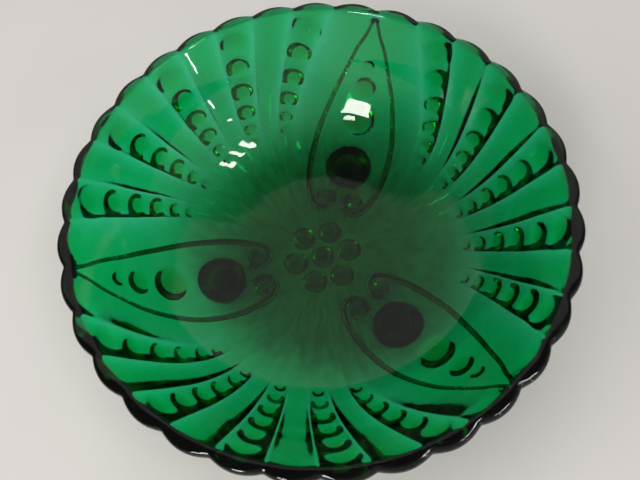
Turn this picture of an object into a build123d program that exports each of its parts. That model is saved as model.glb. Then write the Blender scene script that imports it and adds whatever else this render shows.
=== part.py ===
from build123d import *
from math import asin, cos, degrees, radians, sin, sqrt, tan
import os

# A serving bowl of pressed glass, made in one piece. A plunger forms the smooth inside and a
# three-part mould forms the outside: flutes and rows of beads under a scalloped rim, three leaf
# panels, a cluster of balls under the floor and three ball feet.
# Millimetres and degrees. Origin on the table under the centre, +Z up, one leaf panel towards +Y.

# Driving dimensions: the whole bowl
rim_radius = 109.0  # axis to the crest of a lobe of the rim
height = 72.0  # table to the top of the rim
floor_clearance = 8.1  # table to the underside of the floor at its centre
wall = 5.2  # thickness of the side wall, which ends in a round lip
floor_thickness = 6.4
wall_angle = 60.0  # side wall above horizontal
floor_angle = 2.4  # floor rises this much towards the wall
turn_radius = 72.6  # outside radius from the floor into the wall

# The mould has three like sectors, each with a leaf panel
sectors = 3
lobes_in_sector = 11
flute_squeeze = 0.66  # share of a flute's angle from mid-sector that is left where it ends
squeeze_run = 37.6  # from the rim in to where it has closed up that much
squeeze_power = 1.25

# Round-bottomed grooves between the lobes: distance in from the rim and depth at three points,
# from just outside the rim to where a groove runs out
groove_radius = 2.2
groove_run = ((-2.0, 2.2), (17.0, 1.4), (37.0, 0.1))
tip_groove_run = ((-2.0, 2.2), (1.0, 1.7), (5.5, 0.1))

# Beads in every second lobe: distance in from the rim, radius and rise of each
bead_places = (4.7, 10.8, 17.55, 24.65, 31.6, 37.6)
bead_radii = (5.2, 4.9, 4.5, 3.8, 2.8, 2.2)
bead_rises = (0.32, 0.38, 0.46, 0.5, 0.5, 0.5)  # as shares of the radii
bead_lobes = (-4, -2, 0, 2, 4)  # counted from the middle lobe of a sector

# Leaf panels, from the bottom of their scrolls to their tips. Places along a panel are shares of
# that length. The raised line has two like halves, given by sideways distance and share, from
# the tip round into a scroll that ends in a knob.
leaf_bottom = 27.0  # from the axis
leaf_tip_gap = 4.5  # between the tip and the rim
line_width = 2.6
line_height = 1.3
leaf_half = (
    (1.6, 1.0),
    (7.9, 0.92),
    (14.0, 0.787),
    (20.0, 0.53),
    (20.4, 0.323),
    (17.5, 0.135),
    (10.5, 0.0),
    (4.0, 0.032),
    (3.2, 0.11),
    (7.0, 0.15),
)
knob_sideways = 8.6
knob_share = 0.119
knob_radius = 2.4

# Studs up the middle of a leaf panel
stud_shares = (0.625, 0.787, 0.877)
stud_radii = (9.0, 6.2, 3.5)
stud_rise = 0.55  # as a share of a stud's radius

# Cluster of balls under the floor: one in the middle and a ring round it
cluster_ring_radius = 14.0
cluster_ball_radius = 6.0
cluster_rise = 4.5
cluster_count = 6

# Feet
foot_radius_from_axis = 51.5
foot_ball_radius = 11.4
foot_flat_radius = 3.0

sector_angle = 360 / sectors
lobe_angle = sector_angle / lobes_in_sector
leaf_angle = 90.0
mid_sector_angle = leaf_angle + sector_angle / 2
lip_radius = wall / 2
wall_slope = radians(wall_angle)
floor_slope = radians(floor_angle)


def corner(skin_shift, floor_shift):
    """Where the floor line and the wall line meet, both moved inwards from the outside skin."""
    wall_r = rim_radius - lip_radius + (lip_radius - skin_shift) * sin(wall_slope)
    wall_z = height - lip_radius - (lip_radius - skin_shift) * cos(wall_slope)
    floor_z = floor_clearance + floor_shift / cos(floor_slope)
    r = (floor_z - wall_z + wall_r * tan(wall_slope)) / (tan(wall_slope) - tan(floor_slope))
    return r, floor_z + r * tan(floor_slope)


def skin_ends(skin_shift, floor_shift):
    """Floor centre, corner and the point where the wall runs into the lip."""
    corner_r, corner_z = corner(skin_shift, floor_shift)
    top_r = rim_radius - lip_radius + (lip_radius - skin_shift) * sin(wall_slope)
    top_z = height - lip_radius - (lip_radius - skin_shift) * cos(wall_slope)
    return (0, corner_z - corner_r * tan(floor_slope)), (corner_r, corner_z), (top_r, top_z)


# Centre of the outside arc between the floor and the wall
skin_corner_r, skin_corner_z = corner(0, 0)
tangent_length = turn_radius * tan((wall_slope - floor_slope) / 2)
arc_start_r = skin_corner_r - tangent_length * cos(floor_slope)
arc_start_z = skin_corner_z - tangent_length * sin(floor_slope)
arc_r = arc_start_r - turn_radius * sin(floor_slope)
arc_z = arc_start_z + turn_radius * cos(floor_slope)
arc_end_r = arc_r + turn_radius * sin(wall_slope)


def skin(r):
    """Height and slope of the plain outside skin at a distance from the axis."""
    if r < arc_start_r:
        return floor_clearance + r * tan(floor_slope), floor_slope
    if r < arc_end_r:
        slope = asin((r - arc_r) / turn_radius)
        return arc_z - turn_radius * cos(slope), slope
    return skin_corner_z + (r - skin_corner_r) * tan(wall_slope), wall_slope


def skin_plane(r, angle):
    """Plane on the outside skin: its z points out of the glass and its x sideways."""
    z, slope = skin(r)
    out = (cos(radians(angle)), sin(radians(angle)))
    side = (-out[1], out[0], 0)
    normal = (out[0] * sin(slope), out[1] * sin(slope), -cos(slope))
    return Plane(origin=(out[0] * r, out[1] * r, z), x_dir=side, z_dir=normal)


def squeeze(r):
    """Share of a flute's angle from the middle of its sector that is left at a radius."""
    reach = max(0.0, 1 - (rim_radius - r) / squeeze_run)
    return flute_squeeze + (1 - flute_squeeze) * reach**squeeze_power


def along_leaf(share):
    """Distance from the axis of a place along a leaf panel."""
    return leaf_bottom + share * (rim_radius - leaf_tip_gap - leaf_bottom)


def cap(base_radius, rise):
    """Ball radius, and depth of its centre, for a bump of this base radius and height."""
    ball = (base_radius**2 + rise**2) / (2 * rise)
    return ball, ball - rise


# Everything that the mould encloses: a solid plug with the outside skin and half of the lip
lip_centre = (rim_radius - lip_radius, height - lip_radius)
with BuildPart() as plug:
    with BuildSketch(Plane.XZ):
        with BuildLine():
            skin_floor, skin_turn, skin_top = skin_ends(0, 0)
            FilletPolyline(skin_floor, skin_turn, skin_top, radius=turn_radius)
            CenterArc(lip_centre, lip_radius, wall_angle - 90, 180 - wall_angle)
            Polyline((lip_centre[0], height), (0, height), skin_floor)
        make_face()
    revolve(axis=Axis.Z)

# The plunger: the smooth space inside, which flares over the inner half of the lip
with BuildPart() as plunger:
    with BuildSketch(Plane.XZ):
        with BuildLine():
            inside_floor, inside_turn, inside_top = skin_ends(wall, floor_thickness)
            FilletPolyline(inside_floor, inside_turn, inside_top, radius=turn_radius - wall)
            CenterArc(lip_centre, lip_radius, 90 + wall_angle, -wall_angle)
            Polyline((lip_centre[0], height), (lip_centre[0], 2 * height), (0, 2 * height), inside_floor)
        make_face()
    revolve(axis=Axis.Z)

# Plug with its skin moved out, which limits the raised lines
with BuildPart() as raised_plug:
    with BuildSketch(Plane.XZ):
        with BuildLine():
            raised_floor, raised_turn, raised_top = skin_ends(-line_height, -line_height)
            FilletPolyline(raised_floor, raised_turn, raised_top, radius=turn_radius + line_height)
            Polyline(raised_top, (lip_centre[0], skin_top[1]), (0, skin_top[1]), raised_floor)
        make_face()
    revolve(axis=Axis.Z)


def groove(turns, run):
    """Cutter for one groove, whose distance from mid-sector at the rim is turns lobes."""
    points = []
    for from_rim, depth in run:
        r = rim_radius - from_rim
        angle = mid_sector_angle + turns * lobe_angle * squeeze(r)
        points.append(skin_plane(r, angle).offset(groove_radius - depth).origin)
    with BuildPart() as cutter:
        with BuildLine() as path:
            ThreePointArc(*points)
        with BuildSketch(Plane(origin=path.line @ 0, z_dir=path.line % 0)):
            Circle(groove_radius)
        sweep()
    return cutter.part


# Half of the raised line round a leaf, with the knob that its scroll ends in
with BuildPart() as leaf_line:
    with BuildSketch():
        with BuildLine():
            Spline(*[(sideways, along_leaf(share)) for sideways, share in leaf_half])
        trace(line_width=line_width)
    extrude(amount=height)
    add(raised_plug.part, mode=Mode.INTERSECT)
    knob_out = along_leaf(knob_share)
    knob_z, knob_slope = skin(sqrt(knob_sideways**2 + knob_out**2))
    with Locations((knob_sideways, knob_out, knob_z)):
        Sphere(knob_radius)

# The grooves of one sector: between its lobes, and a short one over the tip of its leaf
sector_grooves = [groove(lobes_in_sector / 2, tip_groove_run)]
for turn in range(1, lobes_in_sector):
    sector_grooves.append(groove(turn - lobes_in_sector / 2, groove_run))

# The bowl: plug with its relief and feet, less the space inside and the grooves
with BuildPart() as bowl:
    add(plug.part)
    with PolarLocations(0, sectors):
        add(leaf_line.part)
        add(mirror(leaf_line.part, Plane.YZ, mode=Mode.PRIVATE))
    for from_rim, radius, rise in zip(bead_places, bead_radii, bead_rises):
        from_axis = rim_radius - from_rim
        ball, depth = cap(radius, rise * radius)
        places = []
        for turn in bead_lobes:
            angle = mid_sector_angle + turn * lobe_angle * squeeze(from_axis)
            for sector in range(sectors):
                place = skin_plane(from_axis, angle + sector * sector_angle).offset(-depth)
                places.append(place.location)
        with Locations(*places):
            Sphere(ball)
    for share, radius in zip(stud_shares, stud_radii):
        ball, depth = cap(radius, stud_rise * radius)
        places = []
        for sector in range(sectors):
            place = skin_plane(along_leaf(share), leaf_angle + sector * sector_angle).offset(-depth)
            places.append(place.location)
        with Locations(*places):
            Sphere(ball)
    ball, depth = cap(cluster_ball_radius, cluster_rise)
    ring_z, ring_slope = skin(cluster_ring_radius)
    with Locations((0, 0, floor_clearance + depth)):
        Sphere(ball)
    with Locations((0, 0, ring_z + depth)):
        with PolarLocations(cluster_ring_radius, cluster_count, start_angle=leaf_angle):
            Sphere(ball)
    foot_z = sqrt(foot_ball_radius**2 - foot_flat_radius**2)
    with Locations((0, 0, foot_z)):
        with PolarLocations(foot_radius_from_axis, sectors, start_angle=leaf_angle):
            Sphere(foot_ball_radius)
    add(plunger.part, mode=Mode.SUBTRACT)
    with PolarLocations(0, sectors):
        add(sector_grooves, mode=Mode.SUBTRACT)
    split(bisect_by=Plane.XY, keep=Keep.TOP)

os.makedirs("parts", exist_ok=True)
bowl.part.label = "bowl"
export_step(bowl.part, "parts/bowl.step")
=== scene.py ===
import bpy
import numpy as np
from math import atan2, cos, degrees, pi, radians, sin, sqrt, tan
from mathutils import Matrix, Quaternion, Vector


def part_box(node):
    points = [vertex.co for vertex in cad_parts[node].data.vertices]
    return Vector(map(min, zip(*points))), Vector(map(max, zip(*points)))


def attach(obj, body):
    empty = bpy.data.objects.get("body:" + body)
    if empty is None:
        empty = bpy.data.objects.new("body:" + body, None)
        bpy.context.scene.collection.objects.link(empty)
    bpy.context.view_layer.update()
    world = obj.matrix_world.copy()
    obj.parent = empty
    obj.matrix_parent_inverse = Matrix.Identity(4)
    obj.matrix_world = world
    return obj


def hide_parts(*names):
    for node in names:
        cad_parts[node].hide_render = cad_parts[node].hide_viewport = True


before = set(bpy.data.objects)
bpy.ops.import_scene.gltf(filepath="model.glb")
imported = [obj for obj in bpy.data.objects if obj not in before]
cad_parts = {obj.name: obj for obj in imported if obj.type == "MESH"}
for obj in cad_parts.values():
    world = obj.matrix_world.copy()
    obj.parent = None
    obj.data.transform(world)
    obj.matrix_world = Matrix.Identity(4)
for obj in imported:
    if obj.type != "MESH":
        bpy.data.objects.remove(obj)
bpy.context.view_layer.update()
bowl_low, bowl_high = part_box("bowl")


# ---- Bowl ----------------------------------------------------------------------------------
# One piece of deep green glass, pressed between a smooth plunger and a three-part mould.
# The mesh is made like it: a plain skin turned about the axis, whose outside is pushed out or
# in by the mould's relief, closed over a round scalloped lip by a smooth inside.

MM = 0.001  # sizes of the glass are in millimetres, and the mesh is in metres

# the turned skin, the same sizes as the mould was cut to
rim_radius = bowl_high.x / MM
height = bowl_high.z / MM
floor_clearance = 8.1
floor_thickness = 6.4
wall = 5.2
lip = wall / 2
wall_slope = radians(60.0)
floor_slope = radians(2.4)
turn_radius = 72.6

# the mould's layout: three sectors of eleven lobes, with a leaf panel where two sectors meet
sectors = 3
lobes = 11
lobe_angle = 360 / sectors / lobes
leaf_angle = 90.0
mid_sector = leaf_angle + 180 / sectors
last_groove = (lobes / 2 - 1) * lobe_angle  # from mid-sector to the groove beside a leaf

# flutes close up towards mid-sector: the share of their angle left at two places, mm from the axis
last_beads_at = 71.4
last_beads_share = 0.66
squeeze_power = 1.25
floor_share = 0.57
floor_squeeze_run = (42.0, 76.0)


class Skin:
    """Plain skin of the glass, moved in from the outside by depth at the wall and floor_depth."""

    def __init__(self, depth, floor_depth):
        self.top_r = rim_radius - lip + (lip - depth) * sin(wall_slope)
        self.top_z = height - lip - (lip - depth) * cos(wall_slope)
        self.floor_z = floor_clearance + floor_depth / cos(floor_slope)
        self.radius = turn_radius - depth
        rise = self.floor_z - self.top_z + self.top_r * tan(wall_slope)
        self.corner_r = rise / (tan(wall_slope) - tan(floor_slope))
        self.corner_z = self.floor_z + self.corner_r * tan(floor_slope)
        reach = self.radius * tan((wall_slope - floor_slope) / 2)
        self.start_r = self.corner_r - reach * cos(floor_slope)
        self.end_r = self.corner_r + reach * cos(wall_slope)
        self.arc_r = self.start_r - self.radius * sin(floor_slope)
        start_z = self.corner_z - reach * sin(floor_slope)
        self.arc_z = start_z + self.radius * cos(floor_slope)

    def slope(self, r):
        lean = np.arcsin(np.clip((r - self.arc_r) / self.radius, -1, 1))
        return np.where(r < self.start_r, floor_slope, np.where(r < self.end_r, lean, wall_slope))

    def z(self, r):
        turn = self.arc_z - self.radius * np.cos(self.slope(r))
        low = self.floor_z + r * tan(floor_slope)
        high = self.corner_z + (r - self.corner_r) * tan(wall_slope)
        return np.where(r < self.start_r, low, np.where(r < self.end_r, turn, high))

    def radii(self, step_at):
        """Radii from the axis to the lip, spaced along the skin by step_at(radius)."""
        radii = [0.0]
        while radii[-1] < self.top_r:
            r = radii[-1]
            radii.append(r + step_at(r) * cos(float(self.slope(r))))
        return np.array(radii) * self.top_r / radii[-1]


outside = Skin(0.0, 0.0)
inside = Skin(wall, floor_thickness)


def smooth_step(low, high, x):
    """0 at low and 1 at high, smoothly between the two, and level past each."""
    t = np.clip((x - low) / (high - low), 0, 1)
    return t * t * (3 - 2 * t)


# lip, from the outside in: out from the rim, up from the top, and share of the valleys' depth
lip_profile = (
    (-0.02, -2.75, 1.0),
    (-0.12, -1.7, 1.0),
    (-0.5, -0.85, 0.97),
    (-1.1, -0.3, 0.9),
    (-1.9, -0.05, 0.75),
    (-2.9, 0.0, 0.5),
    (-3.9, 0.0, 0.25),
    (-4.9, -0.02, 0.05),
    (-5.5, -0.12, 0.0),
    (-5.9, -0.35, 0.0),
)
lip_top_drop = 0.5  # of the lip's top in a valley
# painted shade: the colour of the lip's outer part is darkened by this share
lip_painted_shade = 0.55
lip_painted_shade_run = (-6.0, -4.5)  # out from the rim, over which the lip's painted shade comes in
rim_thickening = 1.5  # of the wall inwards, which grows from thickening_from up to the lip
thickening_from = 66.0

# valleys between lobes: the notch's rounding, the height of a lobe's crown over it, and how full
# the lobes are
valley_notch = 0.14
crown_height = 0.87
valley_power = 0.8


def valley_at(lobes_on):
    """Share of the valleys' depth: 1 where lobes_on is whole, 0 on the crown of a lobe."""
    rounded = np.hypot(np.sin(pi * lobes_on), valley_notch) - valley_notch
    return 1 - (rounded / crown_height) ** valley_power


def squeeze(r):
    """Share of a flute's angle from mid-sector that is left at a radius."""
    to_rim = np.clip((r - last_beads_at) / (rim_radius - last_beads_at), 0, None)
    high = last_beads_share + (1 - last_beads_share) * to_rim**squeeze_power
    low = floor_share + (last_beads_share - floor_share) * smooth_step(*floor_squeeze_run, r)
    return np.where(r > last_beads_at, high, low)


# depth of the valleys, in mm, and where it changes, in mm from the axis
lobe_depth = 2.4
floor_valley_depth = 0.25
valley_deepens = (50.0, 98.0)
floor_valley_fades = (19.0, 30.0)
belly_depth = 0.25  # more, in the middle of the wall
belly_from, belly_to = (76.0, 92.0), (108.5, 99.0)
tip_valley_share = 0.4  # of the depth, in the valley over a leaf's tip until tip_valley_deepens
tip_valley_deepens = (105.5, 108.6)
tip_lobes_from = (103.5, 108.0)  # where the lobes either side of a tip have their full width

# beads in every second lobe, studs up a leaf, cluster and feet, in mm from the axis
bead_rows = (-4, -2, 0, 2, 4)  # lobes, counted from the middle one of a sector
bead_from_axis = (104.3, 98.2, 91.45, 84.35, 77.4, 71.4)
bead_radii = (5.2, 4.9, 4.6, 4.0, 3.0, 2.3)
bead_rise = (0.24, 0.44, 0.54, 0.6, 0.58, 0.5)  # as a share of the bead's radius
stud_from_axis = (75.4, 88.0, 95.0)
stud_radii = (9.0, 6.2, 3.5)
stud_rise = 0.5  # as a share of the stud's radius
cluster_ring = 14.0
cluster_ball = 6.0
cluster_rise = 4.6
cluster_count = 6
foot_from_axis = 51.5
foot_ball = 11.4
foot_flat = 3.0
foot_fillet = 1.4
foot_margin = 1.6  # of the skin past the fillet, which is drawn out with the foot

# line round a leaf, from the tip round into its scroll, as (sideways, from the axis), and half of
# its width by distance from the axis
line_half_width = ((25.0, 1.8), (60.0, 1.55), (90.0, 1.25), (107.0, 0.75))
line_slope = 1.5  # steepness of its flanks
line_crest = 0.15  # rounding of its crest and foot
leaf_bottom_fades = (26.0, 30.0)
leaf_tip_fades = (107.5, 105.5)
leaf_outline = (
    (0.9, 106.5),
    (3.6, 103.0),
    (7.9, 98.2),
    (14.0, 88.0),
    (17.7, 78.0),
    (20.2, 67.0),
    (20.6, 56.0),
    (19.6, 46.0),
    (17.0, 36.5),
    (13.4, 29.5),
    (9.0, 26.3),
    (5.2, 27.8),
    (3.2, 32.0),
    (4.2, 35.6),
)
knob_place = (8.6, 33.2)
knob_radius = 4.0
knob_rise = 2.9
# painted shade: the knobs' colour is darkened by this share
knob_painted_shade = 0.5
bump_fillet = 0.35  # where beads, studs, knobs and balls meet the skin

# columns of the mesh beside a leaf: the shares of the half lobe, at the rim, that follow the line,
# how far those run either side of it, and their least distance from the leaf's middle
line_columns = (0.36, 0.74)
line_columns_reach = 2.0
line_columns_least = 2.7


def smooth_path(points, steps):
    """Points along a curve through these points."""
    p = np.array([points[0], *points, points[-1]], float)
    t = np.linspace(0, 1, steps, endpoint=False)[:, None]
    runs = []
    for a, b, c, d in zip(p, p[1:], p[2:], p[3:]):
        runs.append(0.5 * (2 * b + (c - a) * t + (2 * a - 5 * b + 4 * c - d) * t**2
                           + (3 * b - a - 3 * c + d) * t**3))
    return np.vstack(runs + [p[-1:]])


def on_skin(r, angle):
    """Point of the plain outside skin."""
    r, angle = np.asarray(r, float), np.radians(angle)
    return np.stack([r * np.cos(angle), r * np.sin(angle), outside.z(r)], -1)


def cap_height(distance, radius, rise):
    """Height of a ball-shaped bump of this base radius and rise."""
    ball = (radius**2 + rise**2) / (2 * rise)
    return np.sqrt(np.clip(ball**2 - distance**2, 0, None)) - (ball - rise)


def soft_max(a, b, blend):
    """The higher of two heights, with a fillet of about this size where they meet."""
    h = np.clip(0.5 + 0.5 * (a - b) / blend, 0, 1)
    return b + (a - b) * h + blend * h * (1 - h)


leaf_path = smooth_path(leaf_outline, steps=8)
leaf_path_radii = np.hypot(*leaf_path.T)
leaf_path_points = on_skin(leaf_path_radii, np.degrees(np.arctan2(leaf_path[:, 1], leaf_path[:, 0])))
leaf_side = slice(leaf_path[:, 1].argmin(), None, -1)  # from the bottom of the scroll to the tip


def leaf_edge(r):
    """Degrees from a leaf's middle to the line along its side."""
    side = leaf_path[leaf_side]
    return np.interp(r, leaf_path_radii[leaf_side], np.degrees(np.arctan2(side[:, 0], side[:, 1])))


def column_angle(column, r):
    """Angle of a mesh column, given by its angle at the rim: columns follow the flutes, and
    the line round a leaf."""
    from_mid = (column - mid_sector + 180 / sectors) % (360 / sectors) - 180 / sectors
    sector = column - from_mid
    side = np.sign(from_mid)
    share = float(squeeze(r))
    spread = (np.abs(from_mid) - last_groove) / lobe_angle
    groove = 180 / sectors - last_groove * share
    line = max(radians(float(leaf_edge(r))) * r, line_columns_least)
    beyond, within = line + line_columns_reach, line - line_columns_reach
    stops = (groove, degrees(beyond / r), degrees(within / r), 0)
    along_line = np.interp(spread, (0, *line_columns, 1), stops)
    even = groove * (1 - spread)
    blend = float(smooth_step(30.0, 42.0, r))  # evenly spaced over the floor
    beside_leaf = 180 / sectors - (even + (along_line - even) * blend)
    return sector + np.where(spread > 0, side * beside_leaf, from_mid * share)


def relief(r, angle):
    """Height of the mould's relief over the plain skin at points of the skin, in mm, and the share
    of painted shade that darkens the glass's colour there."""
    from_leaf = (angle - leaf_angle + 180 / sectors) % (360 / sectors) - 180 / sectors
    here = on_skin(r, leaf_angle - np.abs(from_leaf))

    # distance to the line round the leaf, and which side of it a point is on
    gap = here[:, None, :] - leaf_path_points[None, :, :]
    line_gap = np.sqrt((gap**2).sum(-1)).min(1)
    edge = leaf_edge(r)
    in_leaf = smooth_step(-0.5, 1.5, np.radians(edge - np.abs(from_leaf)) * r)
    in_leaf = in_leaf * smooth_step(*leaf_bottom_fades, r) * smooth_step(*leaf_tip_fades, r)

    # lobes: crowned, with a sharp valley between two, fading over the floor; beside a leaf half
    # a lobe rises from the last valley to the line
    mid = np.abs((angle - mid_sector + 180 / sectors) % (360 / sectors) - 180 / sectors)
    groove = 180 / sectors - last_groove * squeeze(r)
    to_line = np.clip((groove - np.abs(from_leaf)) / np.maximum(groove - edge, 1.0), 0, 1)
    at_tip = smooth_step(*tip_lobes_from, r)
    to_tip = np.clip((mid / squeeze(r) - last_groove) / lobe_angle, 0, 1)
    half_lobe = to_line / 2 * (1 - at_tip) + to_tip * at_tip
    lobe = np.where(mid > last_groove * squeeze(r), half_lobe, mid / squeeze(r) / lobe_angle + 0.5)
    tip_share = tip_valley_share + (1 - tip_valley_share) * smooth_step(*tip_valley_deepens, r)
    valley = valley_at(lobe) * np.where(to_tip * at_tip > 0.5, tip_share, 1.0)
    deep = floor_valley_depth + (lobe_depth - floor_valley_depth) * smooth_step(*valley_deepens, r)
    deep = deep + belly_depth * smooth_step(*belly_from, r) * smooth_step(*belly_to, r)
    deep = deep * smooth_step(*floor_valley_fades, r)
    height_here = -deep * valley * (1 - in_leaf)

    # line round the leaf: a narrow ridge with steep flanks
    width = np.interp(r, *np.transpose(line_half_width))
    crest = line_slope * width
    ridge = crest + line_crest - np.hypot(line_slope * line_gap, line_crest)
    height_here = soft_max(height_here, ridge + np.minimum(height_here, 0), line_crest)
    # painted shade along the line round the leaf, which darkens its colour nearly to black
    painted_shade = smooth_step(1.2, 0.8, line_gap / width)

    # beads, studs, knobs and the cluster
    full = on_skin(r, angle)

    def bump(radius_from_axis, at_angle, radius, rise):
        """Raises one ball-shaped bump, and returns how far each point is from it."""
        distance = np.sqrt(((full - on_skin(radius_from_axis, at_angle)) ** 2).sum(-1))
        near = distance < radius * 1.5
        raised = cap_height(distance[near], radius, rise)
        height_here[near] = soft_max(height_here[near], raised, bump_fillet)
        return distance

    for sector in range(sectors):
        turn = sector * 360 / sectors
        for from_axis, radius, share in zip(bead_from_axis, bead_radii, bead_rise):
            for row in bead_rows:
                at = mid_sector + turn + row * lobe_angle * float(squeeze(from_axis))
                bump(from_axis, at, radius, share * radius)
        for from_axis, radius in zip(stud_from_axis, stud_radii):
            bump(from_axis, leaf_angle + turn, radius, stud_rise * radius)
        for side in (-1, 1):
            at = leaf_angle + turn + side * degrees(atan2(*knob_place))
            from_knob = bump(np.hypot(*knob_place), at, knob_radius, knob_rise)
            # painted shade on the knobs
            painted_shade[from_knob < knob_radius] = knob_painted_shade
    bump(0.0, 0.0, cluster_ball, cluster_rise)
    for ball in range(cluster_count):
        bump(cluster_ring, leaf_angle + ball * 360 / cluster_count, cluster_ball, cluster_rise)
    return height_here, painted_shade


def foot_shape(points):
    """Draws the skin round each foot out into a ball with a fillet and a small flat."""
    fillet = foot_fillet
    reach = foot_ball + fillet + foot_margin
    ball = np.linspace(0, pi / 2, 24)
    bend = np.linspace(0, pi / 2, 8)[1:]
    curve_r = np.r_[foot_ball * np.sin(ball), foot_ball + fillet - fillet * np.cos(bend), reach]
    curve_h = np.r_[foot_ball * np.cos(ball) + fillet, fillet - fillet * np.sin(bend), 0.0]
    run = np.r_[0, np.cumsum(np.hypot(np.diff(curve_r), np.diff(curve_h)))]
    drop = sqrt(foot_ball**2 - foot_flat**2)
    for sector in range(sectors):
        turn = radians(leaf_angle + sector * 360 / sectors)
        seat = np.array([foot_from_axis * cos(turn), foot_from_axis * sin(turn)])
        offset = points[:, :2] - seat
        distance = np.hypot(*offset.T)
        near = distance < reach
        at = distance[near] / reach * run[-1]
        new_r = np.interp(at, run, curve_r)
        new_h = np.interp(at, run, curve_h)
        level = points[near, 2]
        scale = (new_r / np.maximum(distance[near], 1e-6))[:, None]
        bottom = drop - (new_h - fillet)
        share = np.clip(new_h / fillet, 0, 1)
        points[near, :2] = seat + offset[near] * scale
        points[near, 2] = np.maximum(level * (1 - share) + np.minimum(bottom, level) * share, 0.0)
    return points


def rim_columns(per_lobe, beside_leaf):
    """Angles of the mesh's columns at the rim, closer together at the grooves and leaf lines."""
    crowding = 0.45  # towards the grooves
    t = np.arange(per_lobe) / per_lobe
    lobe_share = (1 - crowding) * t + crowding * (1 - np.cos(pi * t)) / 2
    near_groove, at_line = round(beside_leaf * 0.33), round(beside_leaf * 0.4)
    line_from, line_to = line_columns
    leaf_share = np.r_[
        line_from * np.linspace(0, 1, near_groove, endpoint=False) ** 1.3,
        np.linspace(line_from, line_to, at_line, endpoint=False),
        np.linspace(line_to, 1, beside_leaf - near_groove - at_line, endpoint=False),
    ]
    runs = []
    for sector in range(sectors):
        start = mid_sector + sector * 360 / sectors - 180 / sectors
        for lobe in range(lobes):
            first = start + lobe * lobe_angle
            if lobe == lobes - 1:
                runs.append(first + leaf_share * lobe_angle)
            elif lobe == 0:
                runs.append(first + (1 - np.r_[leaf_share[1:], 1][::-1]) * lobe_angle)
            else:
                runs.append(first + lobe_share * lobe_angle)
    return np.concatenate(runs)


# which of the full columns a row keeps, from this distance from the axis outwards
outside_steps = ((42.0, 1), (23.0, 2), (13.0, 4), (6.0, 8), (0.0, 16))
inside_steps = ((20.0, 4), (8.0, 8), (0.0, 16))


def columns_step(r, steps):
    return next(step for from_axis, step in steps if r > from_axis)


def bowl_rows(columns):
    """Rows, centre of the underside to rim to centre of the inside, as (points, step, painted shade):
    a row has every step-th of the full columns."""
    rows = []
    for r in outside.radii(lambda r: 0.95 if r > 50 else 0.75)[1:]:
        every = columns_step(r, outside_steps)
        at = columns[::every]
        angle = column_angle(at, r)
        ring = np.full(len(at), r)
        base = on_skin(ring, angle)
        slope = outside.slope(ring)
        turn = np.radians(angle)
        normal = np.stack([np.cos(turn) * np.sin(slope), np.sin(turn) * np.sin(slope), -np.cos(slope)], -1)
        raised, painted_shade = relief(ring, angle)
        points = base + normal * raised[:, None]
        rows.append((foot_shape(points), every, painted_shade))

    # lip: round outside, nearly flat on top, with a tighter corner inside
    turn = np.radians(columns)
    from_mid = (columns - mid_sector) / lobe_angle + 0.5
    valley = valley_at(from_mid)
    for out, up, fade in lip_profile:
        r = rim_radius + out - lobe_depth * sin(wall_slope) * valley * fade
        crest = height + up - lip_top_drop * valley * fade
        ring = np.stack([r * np.cos(turn), r * np.sin(turn), crest], -1)
        # painted shade on the outer part of the lip
        rows.append((ring, 1, np.full(len(r), lip_painted_shade * smooth_step(*lip_painted_shade_run, out))))

    # smooth inside, down to its centre
    inner = inside.radii(lambda r: 2.0)[::-1]
    for r in inner[:-1]:
        every = 2 if r == inner[0] else columns_step(r, inside_steps)
        turn = np.radians(columns[::every])
        ring = np.full(len(turn), r)
        thick = rim_thickening * smooth_step(thickening_from, inside.top_r, ring)
        out = r - thick * sin(wall_slope)
        up = inside.z(ring) + thick * cos(wall_slope)
        rows.append((np.stack([out * np.cos(turn), out * np.sin(turn), up], -1), every, 0 * out))
    return rows


def stitch(lower, lower_step, upper, upper_step, total):
    """Faces between two rows, whose points are every so many of the full columns."""
    faces = []
    if lower_step == upper_step:
        count = total // lower_step
        for i in range(count):
            j = (i + 1) % count
            faces.append((lower + i, lower + j, upper + j, upper + i))
        return faces
    fine, coarse = (lower, upper) if lower_step < upper_step else (upper, lower)
    flip = lower_step > upper_step
    ratio = max(lower_step, upper_step) // min(lower_step, upper_step)
    coarse_count = total // max(lower_step, upper_step)
    fine_count = total // min(lower_step, upper_step)
    for i in range(coarse_count):
        j = (i + 1) % coarse_count
        ends = [(i * ratio + k) % fine_count for k in range(ratio + 1)]
        for k in range(ratio):
            tip = coarse + (i if k < ratio / 2 else j)
            face = (fine + ends[k], fine + ends[k + 1], tip)
            faces.append(face[::-1] if flip else face)
        face = (coarse + i, fine + ends[ratio // 2], coarse + j)
        faces.append(face[::-1] if flip else face)
    return faces


# the rows at the centre need a whole number of sixteenths of the columns, which these make: 672
columns = rim_columns(per_lobe=16, beside_leaf=40)
total = len(columns)
rows = bowl_rows(columns)

# one closed mesh: rows stitched each to the next, and a fan of faces round each centre
vertices = [np.array([[0.0, 0.0, floor_clearance - cluster_rise]])]
painted_shades = [np.zeros(1)]
starts = []
count = 1
for points, step, painted_shade in rows:
    starts.append(count)
    vertices.append(points)
    painted_shades.append(painted_shade)
    count += len(points)
vertices.append(np.array([[0.0, 0.0, float(inside.z(np.array(0.0)))]]))
faces = []
first_count = total // rows[0][1]
for i in range(first_count):
    faces.append((0, starts[0] + (i + 1) % first_count, starts[0] + i))
for number in range(len(rows) - 1):
    faces += stitch(starts[number], rows[number][1], starts[number + 1], rows[number + 1][1], total)
last_count = total // rows[-1][1]
for i in range(last_count):
    faces.append((count, starts[-1] + i, starts[-1] + (i + 1) % last_count))

bowl_mesh = bpy.data.meshes.new("bowl_glass")
bowl_mesh.from_pydata((np.vstack(vertices) * MM).tolist(), [], faces)
bowl_mesh.shade_smooth()
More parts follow.
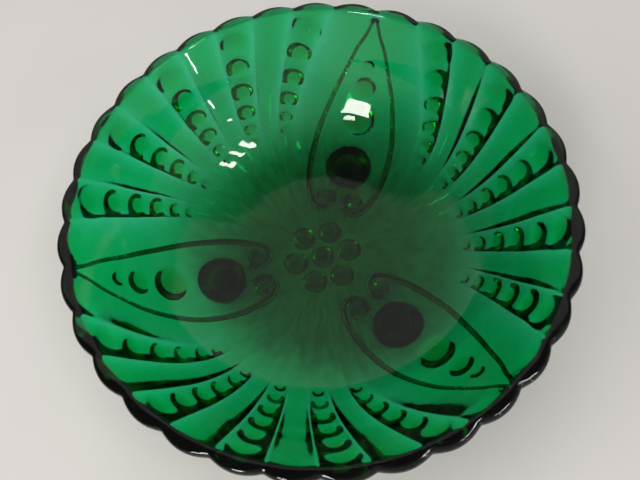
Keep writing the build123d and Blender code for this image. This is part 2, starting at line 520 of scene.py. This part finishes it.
# painted shade of each point, which darkens the glass's colour
painted_shade = bowl_mesh.attributes.new("painted_shade", "FLOAT", "POINT")
painted_shade.data.foreach_set("value", np.concatenate(painted_shades + [np.zeros(1)]))
bowl = bpy.data.objects.new("bowl_glass", bowl_mesh)
bpy.context.scene.collection.objects.link(bowl)

# green glass, coloured through its thickness
glass = bpy.data.materials.new("green_pressed_glass")
glass.use_nodes = True
nodes, links = glass.node_tree.nodes, glass.node_tree.links
shader = nodes["Principled BSDF"]
shader.inputs["Roughness"].default_value = 0.02
shader.inputs["IOR"].default_value = 1.52
shader.inputs["Transmission Weight"].default_value = 1.0


def value(operation, first, second=None):
    """Output of a maths node fed with sockets or numbers."""
    node = nodes.new("ShaderNodeMath")
    node.operation = operation
    for socket, given in zip(node.inputs, (first, second)):
        if isinstance(given, bpy.types.NodeSocket):
            links.new(given, socket)
        elif given is not None:
            socket.default_value = given
    return node.outputs["Value"]


def ranged(given, low, high, low_result, high_result):
    """A value taken smoothly from one range to another, and held at its ends."""
    node = nodes.new("ShaderNodeMapRange")
    node.interpolation_type = "SMOOTHSTEP"
    links.new(given, node.inputs["Value"])
    node.inputs["From Min"].default_value = low
    node.inputs["From Max"].default_value = high
    node.inputs["To Min"].default_value = low_result
    node.inputs["To Max"].default_value = high_result
    return node.outputs["Result"]


# places on the glass
place = nodes.new("ShaderNodeTexCoord").outputs["Object"]
parts = nodes.new("ShaderNodeSeparateXYZ")
links.new(place, parts.inputs["Vector"])
x, y = parts.outputs["X"], parts.outputs["Y"]
from_axis = value("SQRT", value("ADD", value("MULTIPLY", x, x), value("MULTIPLY", y, y)))

# fine lines running out from the centre of the floor, where the glass flowed and chilled
flow_strength = 0.34
flow_stretch = 6.0  # of the noise along the lines, against round the axis
around = nodes.new("ShaderNodeCombineXYZ")
links.new(value("DIVIDE", x, from_axis), around.inputs["X"])
links.new(value("DIVIDE", y, from_axis), around.inputs["Y"])
links.new(value("MULTIPLY", from_axis, flow_stretch), around.inputs["Z"])
flow = nodes.new("ShaderNodeTexNoise")
links.new(around.outputs["Vector"], flow.inputs["Vector"])
flow.inputs["Scale"].default_value = 16.0
flow.inputs["Detail"].default_value = 3.0
flow.inputs["Roughness"].default_value = 0.6
past_cluster = ranged(from_axis, 0.012, 0.024, 0.0, 1.0)
before_wall = ranged(from_axis, 0.05, 0.075, 1.0, 0.0)
flow_area = value("MULTIPLY", past_cluster, before_wall)
flow_line = value("MULTIPLY", ranged(flow.outputs["Fac"], 0.35, 0.68, 0.0, flow_strength), flow_area)

# painted shade: darker where it is lowest, near the table, on the feet and the cluster, on the leaf
# lines and knobs, and less so on the lip
foot_shade = 0.06
painted_shade_strength = 0.97
# painted shade near the table: the colour darkens towards foot_shade at the bottom of the feet and cluster
low = ranged(parts.outputs["Z"], 0.0015, floor_clearance * MM, foot_shade, 1.0)
# painted shade on the leaf lines, knobs and lip, kept on the mesh's points
painted_shade_here = nodes.new("ShaderNodeAttribute")
painted_shade_here.attribute_name = "painted_shade"
painted_shade_factor = value("SUBTRACT", 1.0, value("MULTIPLY", painted_shade_here.outputs["Fac"], painted_shade_strength))
shade = value("MULTIPLY", value("MULTIPLY", value("SUBTRACT", 1.0, flow_line), low), painted_shade_factor)
shade_colour = nodes.new("ShaderNodeCombineColor")
for channel in shade_colour.inputs:
    links.new(shade, channel)
links.new(shade_colour.outputs["Color"], shader.inputs["Base Color"])

# slight waves of fire-polished glass, and the flow lines again
wave = nodes.new("ShaderNodeTexNoise")
links.new(place, wave.inputs["Vector"])
wave.inputs["Scale"].default_value = 95.0
wave.inputs["Detail"].default_value = 1.0
waves = nodes.new("ShaderNodeBump")
links.new(value("ADD", wave.outputs["Fac"], value("MULTIPLY", flow_line, 0.5)), waves.inputs["Height"])
waves.inputs["Strength"].default_value = 1.0
waves.inputs["Distance"].default_value = 0.00012
links.new(waves.outputs["Normal"], shader.inputs["Normal"])

# the green is in the depth of the glass
tint = nodes.new("ShaderNodeVolumeAbsorption")
tint.inputs["Color"].default_value = (0.01, 0.89, 0.655, 1)
tint.inputs["Density"].default_value = 760
links.new(tint.outputs["Volume"], nodes["Material Output"].inputs["Volume"])
bowl_mesh.materials.append(glass)
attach(bowl, "root")
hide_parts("bowl")


# ---- Table ---------------------------------------------------------------------------------
# The pale surface that the bowl stands on: a matt painted board, very slightly mottled, which
# also lights the glass from below.
table_mesh = bpy.data.meshes.new("table")
half = 1.5
below = -0.0003  # a hair under the feet
corners = [(-half, -half, below), (half, -half, below), (half, half, below), (-half, half, below)]
table_mesh.from_pydata(corners, [], [(0, 1, 2, 3)])
table = bpy.data.objects.new("table", table_mesh)
bpy.context.scene.collection.objects.link(table)

paint = bpy.data.materials.new("pale_matt_paint")
paint.use_nodes = True
paint_nodes, paint_links = paint.node_tree.nodes, paint.node_tree.links
paint_shader = paint_nodes["Principled BSDF"]
paint_place = paint_nodes.new("ShaderNodeTexCoord").outputs["Object"]
mottle = paint_nodes.new("ShaderNodeTexNoise")
paint_links.new(paint_place, mottle.inputs["Vector"])
mottle.inputs["Scale"].default_value = 14.0
mottle.inputs["Detail"].default_value = 6.0
paint_tone = paint_nodes.new("ShaderNodeValToRGB")
paint_links.new(mottle.outputs["Fac"], paint_tone.inputs["Fac"])
darker, lighter = paint_tone.color_ramp.elements
darker.color = (0.665, 0.641, 0.636, 1)
lighter.color = (0.715, 0.689, 0.684, 1)
paint_links.new(paint_tone.outputs["Color"], paint_shader.inputs["Base Color"])

# the fine orange peel of rolled paint
orange_peel = paint_nodes.new("ShaderNodeTexNoise")
paint_links.new(paint_place, orange_peel.inputs["Vector"])
orange_peel.inputs["Scale"].default_value = 900.0
paint_bump = paint_nodes.new("ShaderNodeBump")
paint_links.new(orange_peel.outputs["Fac"], paint_bump.inputs["Height"])
paint_bump.inputs["Strength"].default_value = 0.3
paint_bump.inputs["Distance"].default_value = 0.0001
paint_links.new(paint_bump.outputs["Normal"], paint_shader.inputs["Normal"])
paint_shader.inputs["Roughness"].default_value = 0.6
table_mesh.materials.append(paint)


# ---- Light ---------------------------------------------------------------------------------
# A soft studio: a dim sky with one wide window and two low glows, small bright panels that put
# the highlights on the glass, and two large fills.
world = bpy.data.worlds.new("studio")
bpy.context.scene.world = world
world.use_nodes = True
sky, join = world.node_tree.nodes, world.node_tree.links
sky["Background"].inputs["Color"].default_value = (1, 0.99, 0.97, 1)


direction = sky.new("ShaderNodeTexCoord").outputs["Generated"]


def sky_math(operation, first, second=None):
    """Output of a maths node of the sky, fed with sockets or numbers."""
    node = sky.new("ShaderNodeMath")
    node.operation = operation
    for socket, given in zip(node.inputs, (first, second)):
        if isinstance(given, bpy.types.NodeSocket):
            join.new(given, socket)
        elif given is not None:
            socket.default_value = given
    return node.outputs["Value"]


def along(axis):
    """How far the direction that is looked in points along an axis, from -1 to 1."""
    node = sky.new("ShaderNodeVectorMath")
    node.operation = "DOT_PRODUCT"
    join.new(direction, node.inputs[0])
    node.inputs[1].default_value = axis
    return node.outputs["Value"]


def aimed(turn, rise):
    """Unit vector at this turn about the vertical and this rise, in degrees."""
    turn, rise = radians(turn), radians(rise)
    return Vector((cos(turn) * cos(rise), sin(turn) * cos(rise), sin(rise)))


# a wide dim window on the far side: a rounded rectangle of directions, brighter than the rest
sky_strength = 0.09
window_strength = 0.34
window_half_width, window_half_height = 0.75, 0.48
window_lift = 0.07
ahead = aimed(112, 42)
across = aimed(112 + 90, 0)
upward = ahead.cross(across)
sideways = sky_math("DIVIDE", along(across), window_half_width)
height_share = sky_math("DIVIDE", sky_math("SUBTRACT", along(upward), window_lift), window_half_height)
edge_at = sky_math("ADD", sky_math("POWER", sky_math("ABSOLUTE", sideways), 4.0),
                   sky_math("POWER", sky_math("ABSOLUTE", height_share), 4.0))
window = sky.new("ShaderNodeMapRange")
window.interpolation_type = "SMOOTHSTEP"
join.new(edge_at, window.inputs["Value"])
window.inputs["From Min"].default_value = 1.2
window.inputs["From Max"].default_value = 0.8
in_front = sky_math("GREATER_THAN", along(ahead), 0.0)
bright = sky_math("MULTIPLY", sky_math("MULTIPLY", window.outputs["Result"], in_front), window_strength)

# and two softer glows low on the near side, as (turn, rise, cosines from its middle where it is
# faintest and fullest, strength)
for turn, rise, faint_at, full_at, strength in ((-45, 12, 0.3, 0.85, 0.36), (-98, 8, 0.9, 0.99, 0.36)):
    glow = sky.new("ShaderNodeMapRange")
    glow.interpolation_type = "SMOOTHSTEP"
    join.new(along(aimed(turn, rise)), glow.inputs["Value"])
    glow.inputs["From Min"].default_value = faint_at
    glow.inputs["From Max"].default_value = full_at
    glow.inputs["To Max"].default_value = strength
    bright = sky_math("ADD", bright, glow.outputs["Result"])
join.new(sky_math("ADD", bright, sky_strength), sky["Background"].inputs["Strength"])


def add_panel(name, turn, rise, distance, size, brightness):
    """Rectangular lamp in a direction from the bowl, facing it, with this brightness."""
    light = bpy.data.lights.new(name, "AREA")
    light.shape = "RECTANGLE"
    light.size, light.size_y = size
    light.energy = brightness * pi * size[0] * size[1]
    light.color = (1, 0.97, 0.93)
    lamp = bpy.data.objects.new(name, light)
    lamp.location = aimed(turn, rise) * distance
    lamp.rotation_mode = "QUATERNION"
    lamp.rotation_quaternion = (Vector((0, 0, 0.03)) - lamp.location).to_track_quat("-Z", "Y")
    bpy.context.scene.collection.objects.link(lamp)
    return lamp


# small panels, whose reflections are the highlights
panel_distance = 1.6
add_panel("key_panel", -98, 43, panel_distance, (0.3, 0.34), 20)
add_panel("key_strip", -97, 53, panel_distance, (0.1, 0.08), 20)
for strip, strip_turn in enumerate((-22, -12, -2)):
    add_panel("side_strip_%d" % strip, strip_turn, 58, panel_distance, (0.05, 0.32), 20)
add_panel("low_strip_1", -25, 14, panel_distance, (0.03, 0.2), 30)
add_panel("low_strip_2", -27, 32, panel_distance, (0.07, 0.06), 30)

# large fills, which light the table but don't show in the glass
fill_distance = 2.2
fill_size = (1.8, 1.3)
for name, turn, rise, brightness in (("top_fill", 140, 74, 1.9), ("left_fill", 215, 38, 2.3)):
    fill = add_panel(name, turn, rise, fill_distance, fill_size, brightness)
    fill.visible_glossy = False
    fill.visible_transmission = False


# ---- Camera --------------------------------------------------------------------------------
# Close above the bowl, a little to one side, and turned a few degrees about its line of sight.
rim_centre = Vector((0, 0, bowl_high.z))
camera_distance = 0.2494
camera_roll = radians(-6.556)
aim_past_centre = Vector((0.00592, -0.01606, 0))
camera_data = bpy.data.cameras.new("camera")
camera_data.sensor_width = 36
camera_data.lens = 33.77
camera_data.clip_start = 0.01
camera = bpy.data.objects.new("camera", camera_data)
camera.location = rim_centre + aimed(21.4 - 90, 63.4) * camera_distance
camera.rotation_mode = "QUATERNION"
level = (rim_centre + aim_past_centre - camera.location).to_track_quat("-Z", "Y")
camera.rotation_quaternion = level @ Quaternion((0, 0, 1), camera_roll)
bpy.context.scene.collection.objects.link(camera)
bpy.context.scene.camera = camera
bpy.context.scene.view_settings.view_transform = "Standard"
